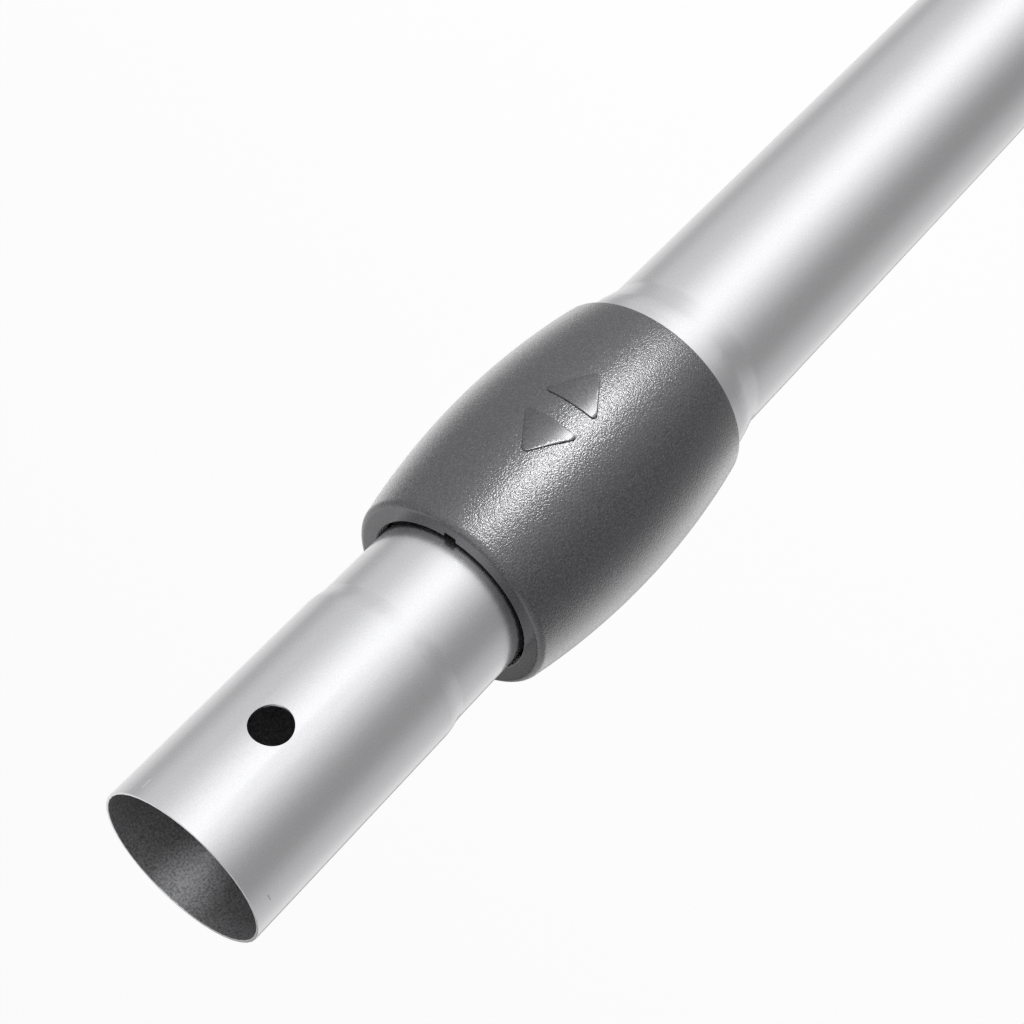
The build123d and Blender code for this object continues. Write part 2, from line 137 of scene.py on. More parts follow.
# The height of the grain that polishing leaves, as a share of the full grain
POLISH = 0.01

# An arrow's rings from its leaning side to its top: how high each lies, as a share of the way
# from the arrow's sunk foot
ARROW_RINGS = (0.72, 0.94, 1.0)

# How finely the pieces are shaped
COLLAR_STEPS = 288
BARREL_STEPS = 44
RIM_STEPS = 10
EDGE_STEPS = 3
ARROW_CUTS_ACROSS = 20
ARROW_CUTS_ALONG = 24
COIL_TURNS = 3.5
COIL_STEPS = 64
WIRE_SIDES = 16
LEAF_STEPS = 50
FLOOR_SIDES = 96
TOUCHING = 1e-6
SMOOTH_ANGLE = math.radians(32)


class Signal:
    """An output of a node tree. Arithmetic on it adds the Math nodes that work it out."""

    def __init__(self, tree, socket=None):
        self.tree = tree
        self.socket = socket

    def node(self, kind, sockets=None, output=0, stops=(), **settings):
        """Add a node: its settings and stops first, then the values or signals of its sockets."""
        made = self.tree.nodes.new(kind)
        for setting, value in settings.items():
            setattr(made, setting, value)
        if stops:
            elements = made.color_ramp.elements
            while len(elements) < len(stops):
                elements.new(0.5)
            for index, (place, level) in enumerate(stops):
                elements[index].position = place
                elements[index].color = (level, level, level, 1)
        for key, value in (sockets or {}).items():
            if isinstance(value, Signal):
                self.tree.links.new(value.socket, made.inputs[key])
            else:
                made.inputs[key].default_value = value
        return Signal(self.tree, made.outputs[output])

    def math(self, operation, *values):
        """Work on numbers."""
        return self.node("ShaderNodeMath", dict(enumerate(values)), operation=operation)

    def vector(self, operation, first, second, output="Vector"):
        """Work on two places, directions or colours."""
        sockets = {0: first, 1: second}
        return self.node("ShaderNodeVectorMath", sockets, output, operation=operation)

    def __add__(self, other):
        return self.math("ADD", self, other)

    __radd__ = __add__

    def __sub__(self, other):
        return self.math("SUBTRACT", self, other)

    def __rsub__(self, other):
        return self.math("SUBTRACT", other, self)

    def __mul__(self, other):
        return self.math("MULTIPLY", self, other)

    __rmul__ = __mul__

    def __truediv__(self, other):
        return self.math("DIVIDE", self, other)

    def __lt__(self, other):
        return self.math("LESS_THAN", self, other)

    def output(self, kind, key, signal):
        """Plug a signal into the tree's output node."""
        self.tree.links.new(signal.socket, self.tree.nodes.new(kind).inputs[key])


def new_material(name):
    """An empty material, and the signal that its nodes are added through."""
    material = bpy.data.materials.new(name)
    material.use_nodes = True
    material.node_tree.nodes.clear()
    return material, Signal(material.node_tree)


def finished(material, start, sockets):
    """The material with a surface of these sockets' values and signals."""
    surface = start.node("ShaderNodeBsdfPrincipled", sockets)
    start.output("ShaderNodeOutputMaterial", "Surface", surface)
    return material


def place_in_piece(start):
    """Where a point of the piece lies, in metres."""
    return start.node("ShaderNodeTexCoord", output="Object")


def speckle(start, size, detail=2.0):
    """A random pattern whose lumps are about size across, from 0 to 1."""
    place = place_in_piece(start)
    sockets = {"Vector": place, "Scale": 1 / size, "Detail": detail, "Roughness": 0.6}
    return start.node("ShaderNodeTexNoise", sockets)


def shaded(start, colour, tone):
    """A colour made darker or lighter by a signal."""
    sockets = {0: tuple(colour), "Scale": tone}
    return start.node("ShaderNodeVectorMath", sockets, operation="SCALE")


def mottled(pattern):
    """A tone that wavers round 1 with a pattern."""
    return pattern * MOTTLE_TONE + (1 - MOTTLE_TONE / 2)


def mix_colours(start, factor, first, second):
    """The first colour where the factor is 0, and the second where it is 1."""
    sockets = {"Factor": factor, "A": first, "B": second}
    return start.node("ShaderNodeMix", sockets, output="Result", data_type="RGBA")


def bump(start, height, distance, below=None):
    """A normal raised by a height signal, on top of the normal below it."""
    sockets = {"Strength": 1.0, "Distance": distance, "Height": height}
    if below:
        sockets["Normal"] = below
    return start.node("ShaderNodeBump", sockets, output="Normal")


def facing_inwards(start):
    """1 on a wall that faces the wand's axis, such as a tube's inside, and 0 elsewhere."""
    normal = start.node("ShaderNodeNewGeometry", output="Normal")
    across = start.vector("MULTIPLY", place_in_piece(start), (1, 1, 0))
    return start.vector("DOT_PRODUCT", across, normal, output="Value") < INWARDS


def scratch(start, middle, along, length, width):
    """1 on a short straight mark in the surface, and 0 elsewhere."""
    offset = start.vector("SUBTRACT", place_in_piece(start), middle)
    run = start.math("ABSOLUTE", start.vector("DOT_PRODUCT", offset, along, output="Value"))
    aside = start.vector("CROSS_PRODUCT", offset, along)
    distance = start.node("ShaderNodeVectorMath", {0: aside}, "Value", operation="LENGTH")
    return (run < length / 2) * (distance < width / 2)


def tube_lacquer(finish):
    """Silver lacquer with fine metal flake outside, and dull bare steel inside with a painted patch
    of light.
    """
    material, start = new_material("tube_lacquer")
    flake = speckle(start, finish.flake_size)
    cloud = speckle(start, finish.cloud_size)
    inside = facing_inwards(start)
    grit = speckle(start, finish.grit_size)
    # a painted patch of light on the nozzle's inside wall, fading from its centre to its reach
    away = start.vector("DISTANCE", place_in_piece(start), finish.painted_light_centre, output="Value")
    painted_light_spot = start.math("MAXIMUM", 1 - away / finish.painted_light_reach, 0)
    scuff = scratch(start, finish.scuff_place, along=(0, 0, 1), length=0.0021, width=0.0003)
    nick = scratch(start, finish.nick_place, along=(0.3, -0.9, 0.1), length=0.0016, width=0.00025)
    lacquer_tone = mottled(flake) + scuff * SCUFF_TONE - nick * NICK_TONE
    steel_tone = grit * GRIT_TONE - GRIT_DARKNESS + cloud * CLOUD_TONE + painted_light_spot * grit * PAINTED_LIGHT_TONE
    lacquer = shaded(start, finish.lacquer_colour, lacquer_tone)
    steel = shaded(start, finish.bare_steel_colour, steel_tone)
    peel = bump(start, cloud, finish.peel_height)
    return finished(material, start, {
        "Base Color": mix_colours(start, inside, lacquer, steel),
        "Metallic": 1.0,
        "Roughness": inside * INSIDE_DULLNESS + flake * FLAKE_DULLNESS + finish.lacquer_roughness,
        "Normal": bump(start, flake, finish.flake_height, below=peel),
        "Coat Weight": 0.3,
        "Coat Roughness": 0.1,
    })


def collar_plastic(name, finish, grain_height, roughness, gloss):
    """Dark grey plastic with a spark-eroded grain of a given height."""
    material, start = new_material(name)
    lumps = speckle(start, finish.grain_size, detail=1.0)
    tone = start.math("MAXIMUM", lumps * GRAIN_TONE - GRAIN_DARKNESS, 0)
    return finished(material, start, {
        "Base Color": shaded(start, finish.collar_colour, tone),
        "Metallic": 0.0,
        "Roughness": lumps * COLLAR_DULLNESS + roughness,
        "Normal": bump(start, lumps, grain_height),
        "IOR": 1.75,
        "Specular IOR Level": gloss,
        "Specular Tint": (0.975, 0.975, 1, 1),
        "Sheen Weight": 0.3,
        "Sheen Roughness": 0.3,
    })


def plain_finish(name):
    """A moulded, rubber or steel finish of the inside pieces, with a little grain."""
    base, roughness, metallic, grain_size, grain_height = INSIDE_FINISHES[name]
    material, start = new_material(name)
    grain = speckle(start, grain_size)
    return finished(material, start, {
        "Base Color": shaded(start, base, mottled(grain)),
        "Metallic": metallic,
        "Roughness": grain * GRAIN_DULLNESS + roughness,
        "Normal": bump(start, grain, grain_height),
    })


def length(name, default, description):
    """A size in metres that a user can change."""
    return bpy.props.FloatProperty(
        name=name, description=description, default=default, min=0, unit="LENGTH", precision=5,
    )


def colour(name, default, description):
    """A colour that a user can change."""
    return bpy.props.FloatVectorProperty(
        name=name, description=description, default=default, min=0, max=1, subtype="COLOR",
    )


def share(name, default, description):
    """A value from 0 to 1 that a user can change."""
    return bpy.props.FloatProperty(
        name=name, description=description, default=default, min=0, max=1,
    )


def spot(name, default, description):
    """A place on the wand that a user can change."""
    return bpy.props.FloatVectorProperty(
        name=name, description=description, default=default, unit="LENGTH", subtype="TRANSLATION",
    )


class WandShape(bpy.types.PropertyGroup):
    """Sizes of the collar, its arrows and the springs"""

    belly_radius: length("Belly radius", 0.0254, "Radius of the collar where it is widest")
    belly_height: length("Belly height", 0.4755, "Height of the collar's belly and of its arrows")
    front_radius: length("Front radius", 0.02175, "Radius of the collar's front rim")
    back_radius: length("Back radius", 0.0228, "Radius of the collar's back rim")
    front_round: length("Front rounding", 0.0012, "How far the front rim's rounding reaches")
    back_round: length("Back rounding", 0.00025, "How far the back rim's rounding reaches")
    mouth_radius: length("Mouth radius", 0.01765, "Radius of the hole in the collar's front")
    face_wall: length("Face wall", 0.003, "Thickness of the collar's front wall")
    hollow_radius: length("Hollow radius", 0.022, "Radius of the hollow inside the collar")
    hollow_nose_radius: length("Hollow nose radius", 0.0209, "Radius behind the front wall")
    hollow_nose_length: length("Hollow nose length", 0.003, "Length of the hollow's taper")
    snap_height: length("Snap groove height", 0.4458, "Height of the end ring's snap groove")
    snap_width: length("Snap groove width", 0.0011, "Width of the end ring's snap groove")
    snap_depth: length("Snap groove depth", 0.0003, "Depth of the end ring's snap groove")
    pocket_depth: length("Pocket depth", 0.0008, "Depth of the pockets for the cam ring's lugs")
    pocket_size: length("Pocket size", 0.0042, "Width and length of the pockets for the lugs")
    lock_height: length("Lock height", 0.476, "Height of the locking roller")
    notch_width: length("Notch width", 0.0027, "Width of the notch in the collar's mouth")
    notch_depth: length("Notch depth", 0.0012, "Depth of the notch in the collar's mouth")
    notch_offset: length("Notch offset", 0.00075, "How far the notch sits beside the arrows")
    notch_round: length("Notch rounding", 0.0004, "Radius of the notch's inner corners")
    arrow_gap: length("Arrow gap", 0.0051, "Distance between the two arrows")
    arrow_length: length("Arrow length", 0.0097, "Length of an arrow")
    arrow_half_width: length("Arrow half width", 0.0063, "Half of an arrow's width")
    arrow_corner: length("Arrow corner", 0.0019, "How far an arrow's corner rounding reaches")
    arrow_height: length("Arrow height", 0.0003, "How far the arrows stand out of the collar")
    arrow_draft: length("Arrow draft", 0.00012, "How far an arrow's side leans outwards")
    arrow_edge: length("Arrow edge", 0.00016, "Width of the rounded edge round an arrow's top")
    wire: length("Spring wire", 0.0008, "Thickness of the coil springs' wire")
    coil_radius: length("Coil radius", 0.02095, "Radius of the coil springs to their wire's middle")
    leaf_length: length("Leaf length", 0.025, "Length of the leaf spring")
    leaf_width: length("Leaf width", 0.006, "Width of the leaf spring's strip")
    leaf_thickness: length("Leaf thickness", 0.0003, "Thickness of the leaf spring")
    leaf_foot: length("Leaf foot", 0.005, "Length of each foot of the leaf spring")
    leaf_flat: length("Leaf flat", 0.005, "Length of the leaf spring's raised middle")
    leaf_drop: length("Leaf drop", 0.00098, "How far the leaf spring's feet lie below its middle")
    ear_length: length("Ear length", 0.0034, "Length of the leaf spring's ears along the wand")
    leaf_play: length("Leaf play", 0.0003, "Room between the lifted leaf spring and the collar")
    roller_lift: length("Roller lift", 0.0013, "How far the roller and the leaf spring rise")
    collar_travel: length("Collar travel", 0.004, "How far the collar slides either way")


class WandFinish(bpy.types.PropertyGroup):
    """Colours, gloss and grain of the tubes and the collar"""

    lacquer_colour: colour("Lacquer", (0.70, 0.70, 0.715), "Colour of the tubes' silver lacquer")
    lacquer_roughness: share("Lacquer roughness", 0.24, "How soft the lacquer's gloss is")
    flake_size: length("Flake size", 0.00022, "Width of the lacquer's metal flakes")
    flake_height: length("Flake height", 0.000003, "Height of the lacquer's metal flakes")
    cloud_size: length("Lacquer wave size", 0.004, "Width of the lacquer's soft waves")
    peel_height: length("Lacquer wave height", 0.00002, "Height of the lacquer's soft waves")
    bare_steel_colour: colour("Bare steel", (0.42, 0.42, 0.43), "Colour of the tubes' insides")
    grit_size: length("Grit size", 0.0004, "Width of the grit on the tubes' inside walls")
    # The painted patch of light on the nozzle's inside wall: its reach and its centre
    painted_light_reach: length("Worn patch size", 0.0075, "Reach of the worn patch inside the nozzle")
    painted_light_centre: spot(
        "Worn patch", (0.0036, 0.0166, nozzle_height - 0.0045),
        "Place of a bright worn patch inside the nozzle",
    )
    scuff_place: spot(
        "Scuff", (0.0096, -0.01463, nozzle_height - 0.003),
        "Place of a light scuff near the nozzle's rim",
    )
    nick_place: spot(
        "Nick", (-0.0168, -0.0049, nozzle_height - 0.0037),
        "Place of a dark nick near the nozzle's rim",
    )
    collar_colour: colour("Collar", (0.014, 0.014, 0.016), "Colour of the sliding collar")
    collar_roughness: share("Collar roughness", 0.22, "How dull the collar's grain is")
    collar_gloss: share("Collar gloss", 0.8, "How strongly the collar's grain reflects")
    arrow_roughness: share("Arrow roughness", 0.24, "How dull the arrows' polished tops are")
    arrow_gloss: share("Arrow gloss", 0.66, "How strongly the arrows' polished tops reflect")
    # The arrows' sides take a dull, dark copy of the collar plastic, as painted shade along the
    # arrows' outline
    side_roughness: share("Arrow side roughness", 0.6, "How dull the arrows' sides are")
    side_gloss: share("Arrow side gloss", 0.1, "How strongly the arrows' sides reflect")
    grain_size: length("Grain size", 0.00034, "Width of the lumps in the collar's grain")
    grain_height: length("Grain height", 0.00009, "Height of the lumps in the collar's grain")


class StudioLight(bpy.types.PropertyGroup):
    """Size and light of the studio"""

    floor_size: bpy.props.FloatProperty(
        name="Floor size", description="Width of the studio floor", unit="LENGTH", min=1,
        default=16,
    )
    lamp_power: bpy.props.FloatProperty(
        name="Lamp power", description="Power of the overhead softbox", unit="POWER", min=0,
        default=8,
    )
    strip_power: bpy.props.FloatProperty(
        name="Strip light power", description="Power of the narrow light in front of the wand",
        unit="POWER", min=0, default=1.7,
    )
    studio_level: bpy.props.FloatProperty(
        name="Studio level", description="Brightness of the studio's walls", min=0, default=1.0,
    )


def settle(name):
    """Name the primitive just added, put its place in its mesh and open it for shaping."""
    piece = bpy.context.object
    piece.name = name
    bpy.ops.object.transform_apply(location=True, rotation=True, scale=True)
    bpy.ops.object.mode_set(mode="EDIT")
    return piece


def pick(piece, kind, test):
    """Select only the vertices, edges or faces that pass a test."""
    bpy.ops.mesh.select_mode(type=kind)
    bpy.ops.mesh.select_all(action="DESELECT")
    mesh = bmesh.from_edit_mesh(piece.data)
    for item in {"VERT": mesh.verts, "EDGE": mesh.edges, "FACE": mesh.faces}[kind]:
        if test(item):
            item.select_set(True)
    bmesh.update_edit_mesh(piece.data)


def use_second_finish(piece):
    """Give the selected faces the second of the piece's finishes."""
    piece.active_material_index = 1
    bpy.ops.object.material_slot_assign()


def apply_modifier(piece, kind, **settings):
    """Add a modifier to the active piece and apply it."""
    modifier = piece.modifiers.new(kind.title(), kind)
    for setting, value in settings.items():
        setattr(modifier, setting, value)
    bpy.ops.object.modifier_apply(modifier=modifier.name)


def make_active(piece):
    """Select one piece alone, to work on it."""
    bpy.ops.object.select_all(action="DESELECT")
    piece.select_set(True)
    bpy.context.view_layer.objects.active = piece


def finish_mesh(piece, *materials):
    """Close the mesh's seams, turn its faces outwards and give it its finishes."""
    bpy.ops.mesh.select_all(action="SELECT")
    bpy.ops.mesh.remove_doubles(threshold=TOUCHING)
    bpy.ops.mesh.normals_make_consistent(inside=False)
    bpy.ops.object.mode_set(mode="OBJECT")
    for material in materials:
        piece.data.materials.append(material)


def barrel_radius(shape, height):
    """Radius of the collar's outside, an arc through its two rims and its belly."""
    front = Vector((collar_high, shape.front_radius))
    belly = Vector((shape.belly_height, shape.belly_radius))
    back = Vector((collar_low, shape.back_radius))

    # the arc's centre is as far from the front rim as from the belly and the back rim
    sides = Matrix((belly - front, back - front)) * 2
    squares = Vector((belly.length_squared, back.length_squared))
    centre = sides.inverted() @ (squares - Vector([front.length_squared] * 2))
    return centre.y + math.sqrt((front - centre).length_squared - (height - centre.x) ** 2)


def collar_outline(shape):
    """The collar's section as (radius, height) points, from its mouth over its outside and back."""
    wall_height = collar_high - shape.face_wall
    step = (collar_high - collar_low) / BARREL_STEPS
    heights = [collar_high - step * i for i in range(BARREL_STEPS + 1)]
    groove = shape.hollow_radius + shape.snap_depth
    snap_low = shape.snap_height - shape.snap_width / 2
    snap_high = shape.snap_height + shape.snap_width / 2
    return [
        (shape.mouth_radius, wall_height),
        (shape.mouth_radius, collar_high),
        *[(barrel_radius(shape, height), height) for height in heights],
        (shape.hollow_radius, collar_low),
        (shape.hollow_radius, snap_low),
        (groove, snap_low),
        (groove, snap_high),
        (shape.hollow_radius, snap_high),
        (shape.hollow_radius, wall_height - shape.hollow_nose_length),
        (shape.hollow_nose_radius, wall_height),
    ]


def draw_outline(name, outline):
    """Draw a closed outline in the front half of the YZ plane by extruding a single point."""
    radius, height = outline[0]
    bpy.ops.object.select_all(action="DESELECT")
    bpy.ops.mesh.primitive_plane_add(size=0.001, location=(0, -radius, height))
    piece = settle(name)
    bpy.ops.mesh.merge(type="CENTER")
    for (last_radius, last_height), (radius, height) in zip(outline, outline[1:] + outline[:1]):
        move = (0, last_radius - radius, height - last_height)
        bpy.ops.mesh.extrude_region_move(TRANSFORM_OT_translate={"value": move})
    bpy.ops.mesh.select_all(action="SELECT")
    bpy.ops.mesh.remove_doubles(threshold=TOUCHING)
    return piece


def round_corner(piece, radius, height, reach, segments, nearby=0.00005):
    """Round the corner of an outline that lies at a radius and a height."""
    pick(piece, "VERT", lambda v: abs(math.hypot(v.co.x, v.co.y) - radius) < nearby
         and abs(v.co.z - height) < nearby)
    bpy.ops.mesh.bevel(affect="VERTICES", offset=reach, segments=segments, profile=0.5)


def turned_collar(shape, grained, smooth):
    """The collar's barrel, spun from its outline, with its rims rounded."""
    piece = draw_outline("collar_shell", collar_outline(shape))
    round_corner(piece, shape.front_radius, collar_high, shape.front_round, RIM_STEPS)
    round_corner(piece, shape.back_radius, collar_low, shape.back_round, EDGE_STEPS)
    round_corner(piece, shape.mouth_radius, collar_high, shape.back_round, EDGE_STEPS)
    bpy.ops.mesh.select_all(action="SELECT")
    bpy.ops.mesh.spin(steps=COLLAR_STEPS, angle=2 * math.pi, center=(0, 0, 0), axis=(0, 0, 1))
    finish_mesh(piece, grained, smooth)

    # the front face is polished
    face_height = collar_high - 0.0001
    bpy.ops.object.mode_set(mode="EDIT")
    pick(piece, "FACE", lambda f: f.normal.z > 0.99 and f.calc_center_median().z > face_height)
    use_second_finish(piece)
    bpy.ops.object.mode_set(mode="OBJECT")
    return piece


def cut_away(piece, cutter):
    """Cut one mesh out of another and throw the cutter away."""
    make_active(piece)
    apply_modifier(piece, "BOOLEAN", operation="DIFFERENCE", solver="EXACT", object=cutter)
    bpy.data.objects.remove(cutter)


def open_block(name, place, height, reach, width, length):
    """A block that reaches from beside the axis out to the front, open for shaping."""
    bpy.ops.object.select_all(action="DESELECT")
    bpy.ops.mesh.primitive_cube_add(size=1, location=(place, -reach / 2, height))
    bpy.ops.transform.resize(value=(width, reach, length))
    return settle(name)


def round_outer_end(cutter, reach, rounding):
    """Round the edges of a block's end that lies farthest from the axis."""
    pick(cutter, "EDGE", lambda e: all(v.co.y < -reach / 2 for v in e.verts))
    bpy.ops.mesh.bevel(offset=rounding, segments=2)


def notch_cutter(shape):
    """A block with rounded corners that cuts the notch in the collar's mouth."""
    reach = shape.mouth_radius + shape.notch_depth
    length = 4 * shape.face_wall
    cutter = open_block(
        "notch_cutter", shape.notch_offset, collar_high, reach, shape.notch_width, length,
    )
    pick(cutter, "EDGE", lambda e: all(v.co.y < -reach / 2 for v in e.verts)
         and abs(e.verts[0].co.z - e.verts[1].co.z) > shape.face_wall)
    bpy.ops.mesh.bevel(offset=shape.notch_round, segments=5)
    bpy.ops.object.mode_set(mode="OBJECT")
    return cutter


def leaf_room_cutter(shape):
    """A block that gives the lifted leaf spring and its ears room in the collar's wall."""
    low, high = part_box("leaf_spring")
    reach = shape.roller_lift + shape.leaf_play - low.y
    width = 2 * (high.x + shape.leaf_play)
    length = shape.leaf_flat + 2 * (shape.collar_travel + shape.leaf_play)
    cutter = open_block("leaf_room_cutter", 0, shape.lock_height, reach, width, length)
    round_outer_end(cutter, reach, shape.snap_depth)
    bpy.ops.object.mode_set(mode="OBJECT")
    return cutter


def pocket_cutters(shape):
    """Blocks that cut the pockets for the cam ring's four snap lugs."""
    reach = shape.hollow_radius + shape.pocket_depth
    size = shape.pocket_size
    cutter = open_block("pocket_cutter", 0, shape.lock_height, reach, size, size)
    round_outer_end(cutter, reach, shape.snap_depth)
    bpy.ops.mesh.select_all(action="SELECT")
    bpy.ops.transform.rotate(value=math.pi / 4, orient_axis="Z", center_override=(0, 0, 0))
    for _ in range(3):
        bpy.ops.mesh.duplicate()
        bpy.ops.transform.rotate(value=math.pi / 2, orient_axis="Z", center_override=(0, 0, 0))
    bpy.ops.object.mode_set(mode="OBJECT")
    return cutter


def weigh_selected(piece, group, weight):
    """Give the selected vertices their weight in a vertex group."""
    bpy.ops.object.mode_set(mode="OBJECT")
    group.add([v.index for v in piece.data.vertices if v.select], weight, "REPLACE")
    bpy.ops.object.mode_set(mode="EDIT")


def arrow_triangle(shape, direction):
    """A triangle with round corners in front of the collar, as large as an arrow's foot."""
    foot = 1 + 2 * shape.arrow_draft / shape.arrow_half_width

    # a triangle of radius 1 is 1.5 long, with its middle a third of its length from its base
    middle = shape.belly_height + direction * (shape.arrow_gap / 2 + shape.arrow_length / 3)
    turn = 0 if direction > 0 else math.pi
    bpy.ops.object.select_all(action="DESELECT")
    bpy.ops.mesh.primitive_circle_add(
        vertices=3, radius=1, fill_type="NGON", rotation=(math.pi / 2, turn, 0),
        location=(0, -2 * shape.belly_radius, middle),
    )
    wide = foot * shape.arrow_half_width / math.cos(math.pi / 6)
    bpy.ops.transform.resize(value=(wide, 1, foot * shape.arrow_length / 1.5))
    piece = settle("arrow_up" if direction > 0 else "arrow_down")
    bpy.ops.mesh.select_all(action="SELECT")
    bpy.ops.mesh.bevel(affect="VERTICES", offset=shape.arrow_corner, segments=6, profile=0.5)
    return piece, middle


def cut_across(half, count, axis, middle):
    """Cut the open piece into even strips, so that it can follow a curved wall."""
    for i in range(count):
        place = Vector((0, 0, middle))
        place[axis] += half * (2 * (i + 0.5) / count - 1)
        normal = Vector((0, 0, 0))
        normal[axis] = 1
        bpy.ops.mesh.select_all(action="SELECT")
        bpy.ops.mesh.bisect(plane_co=place, plane_no=normal)


def raised_arrow(shape, barrel, materials, direction):
    """A raised arrow on the collar's front that points up (1) or down (-1) the wand."""
    piece, middle = arrow_triangle(shape, direction)
    for material in materials:
        piece.data.materials.append(material)

    # a leaning side of a dull, dark finish that paints shade along the arrow's outline, then a
    # rounded edge round the top
    height = piece.vertex_groups.new(name="height")
    insets = (shape.arrow_draft, shape.arrow_edge / 2, shape.arrow_edge / 2)
    for ring, (inset, weight) in enumerate(zip(insets, ARROW_RINGS)):
        pick(piece, "FACE", lambda f: len(f.verts) > 4)
        bpy.ops.mesh.inset(thickness=inset)
        weigh_selected(piece, height, weight)
        if ring == 0:
            pick(piece, "FACE", lambda f: len(f.verts) == 4)
            use_second_finish(piece)

    # onto the barrel, and out by each ring's height above the sunk foot
    cut_across(shape.arrow_half_width, ARROW_CUTS_ACROSS, 0, middle)
    cut_across(shape.arrow_length, ARROW_CUTS_ALONG, 2, middle)
    bpy.ops.object.mode_set(mode="OBJECT")
    apply_modifier(
        piece, "SHRINKWRAP", target=barrel, wrap_method="PROJECT", use_project_y=True,
        use_positive_direction=True, offset=0,
    )
    sunk = shape.arrow_height
    apply_modifier(
        piece, "DISPLACE", direction="Y", vertex_group="height", mid_level=0,
        strength=-shape.arrow_height - sunk,
    )

    # a body under the top, sunk in the barrel's wall
    bpy.ops.object.mode_set(mode="EDIT")
    bpy.ops.mesh.select_all(action="SELECT")
    bpy.ops.transform.translate(value=(0, sunk, 0))
    bpy.ops.mesh.select_all(action="DESELECT")
    bpy.ops.mesh.select_mode(type="EDGE")
    bpy.ops.mesh.select_non_manifold()
    bpy.ops.mesh.extrude_region_move(TRANSFORM_OT_translate={"value": (0, sunk, 0)})
    bpy.ops.mesh.edge_face_add()
    finish_mesh(piece)
    return piece


class WAND_OT_slide_collar(bpy.types.Operator):
    """Model the barrel-shaped collar with its notch, pockets and raised arrows"""

    bl_idname = "wand.slide_collar"
    bl_label = "Sliding collar"

    def execute(self, context):
        shape = context.scene.wand_shape
        finish = context.scene.wand_finish
        polished = finish.grain_height * POLISH
        grained = collar_plastic(
            "collar_grained_plastic", finish, finish.grain_height, finish.collar_roughness,
            finish.collar_gloss,
        )
        smooth = collar_plastic(
            "collar_smooth_plastic", finish, polished, finish.arrow_roughness, finish.arrow_gloss,
        )
        # painted shade: a dull, dark copy of the plastic for the arrows' sides, so that their
        # outline stays dark all round
        shaded_sides = collar_plastic(
            "collar_painted_shade_plastic", finish, polished, finish.side_roughness, finish.side_gloss,
        )
        collar = turned_collar(shape, grained, smooth)
        arrows = [raised_arrow(shape, collar, (smooth, shaded_sides), direction) for direction in (1, -1)]
        cut_away(collar, notch_cutter(shape))
        cut_away(collar, pocket_cutters(shape))
        cut_away(collar, leaf_room_cutter(shape))
        for arrow in arrows:
            apply_modifier(
                collar, "BOOLEAN", operation="UNION", solver="EXACT", object=arrow,
                material_mode="TRANSFER",
            )
            bpy.data.objects.remove(arrow)
        bpy.ops.object.shade_smooth_by_angle(angle=SMOOTH_ANGLE)
        apply_modifier(collar, "WEIGHTED_NORMAL", keep_sharp=True)
        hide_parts("slide_collar")
        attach(collar, "slide_collar")
        return {"FINISHED"}


def coil(name, shape, steel):
    """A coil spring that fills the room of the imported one, with its ends closed."""
    low, high = (corner.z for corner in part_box(name))
    wire_radius = shape.wire / 2
    steps = int(COIL_STEPS * COIL_TURNS)
    bpy.ops.object.select_all(action="DESELECT")
    bpy.ops.mesh.primitive_circle_add(
        vertices=WIRE_SIDES, radius=wire_radius, rotation=(math.pi / 2, 0, 0),
        location=(shape.coil_radius, 0, low + wire_radius),
    )
    piece = settle(name + "_wire")
    bpy.ops.object.mode_set(mode="OBJECT")
    apply_modifier(
        piece, "SCREW", axis="Z", angle=2 * math.pi * COIL_TURNS,
        screw_offset=high - low - shape.wire, steps=steps, render_steps=steps, iterations=1,
    )
    bpy.ops.object.mode_set(mode="EDIT")
    bpy.ops.mesh.select_all(action="SELECT")
    bpy.ops.mesh.fill_holes(sides=0)
    finish_mesh(piece, steel)
    bpy.ops.object.shade_smooth_by_angle(angle=SMOOTH_ANGLE)
    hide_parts(name)
    return piece


class WAND_OT_coil_springs(bpy.types.Operator):
    """Wind the two springs that bring the collar back to its middle"""

    bl_idname = "wand.coil_springs"
    bl_label = "Coil springs"

    def execute(self, context):
        shape = context.scene.wand_shape
        steel = plain_finish("bright_spring_wire")
        front = coil("front_coil_spring", shape, steel)
        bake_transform(front)
        rear = coil("rear_coil_spring", shape, steel)
        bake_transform(rear)
        return {"FINISHED"}


def add_ears(piece, shape, ear_end):
    """Widen the leaf spring's middle into two ears, for the cam ring's ramps."""
    half_width = shape.leaf_width / 2
    half_length = shape.ear_length / 2
    for side in (-1, 1):
        bpy.ops.mesh.select_all(action="SELECT")
        cut = (0, 0, shape.lock_height + side * half_length)
        bpy.ops.mesh.bisect(plane_co=cut, plane_no=(0, 0, 1))
    for side in (-1, 1):
        pick(
            piece, "EDGE",
            lambda e: all(
                abs(v.co.x - side * half_width) < TOUCHING
                and abs(v.co.z - shape.lock_height) < half_length + TOUCHING
                for v in e.verts
            ),
        )
        move = (side * (ear_end - half_width), 0, 0)
        bpy.ops.mesh.extrude_region_move(TRANSFORM_OT_translate={"value": move})


def bend_feet(piece, shape):
    """Curve the leaf spring smoothly down from its flat middle to its feet."""
    flat_end = shape.leaf_flat / 2
    bend = shape.leaf_length / 2 - shape.leaf_foot - flat_end
    rows = {round(v.co.z - shape.lock_height, 6) for v in bmesh.from_edit_mesh(piece.data).verts}
    for row in sorted(rows):
        way = min(max((abs(row) - flat_end) / bend, 0), 1)
        if way > 0:
            pick(piece, "VERT", lambda v: abs(v.co.z - shape.lock_height - row) < TOUCHING)
            drop = shape.leaf_drop * way * way * (3 - 2 * way)
            bpy.ops.transform.translate(value=(0, drop, 0))


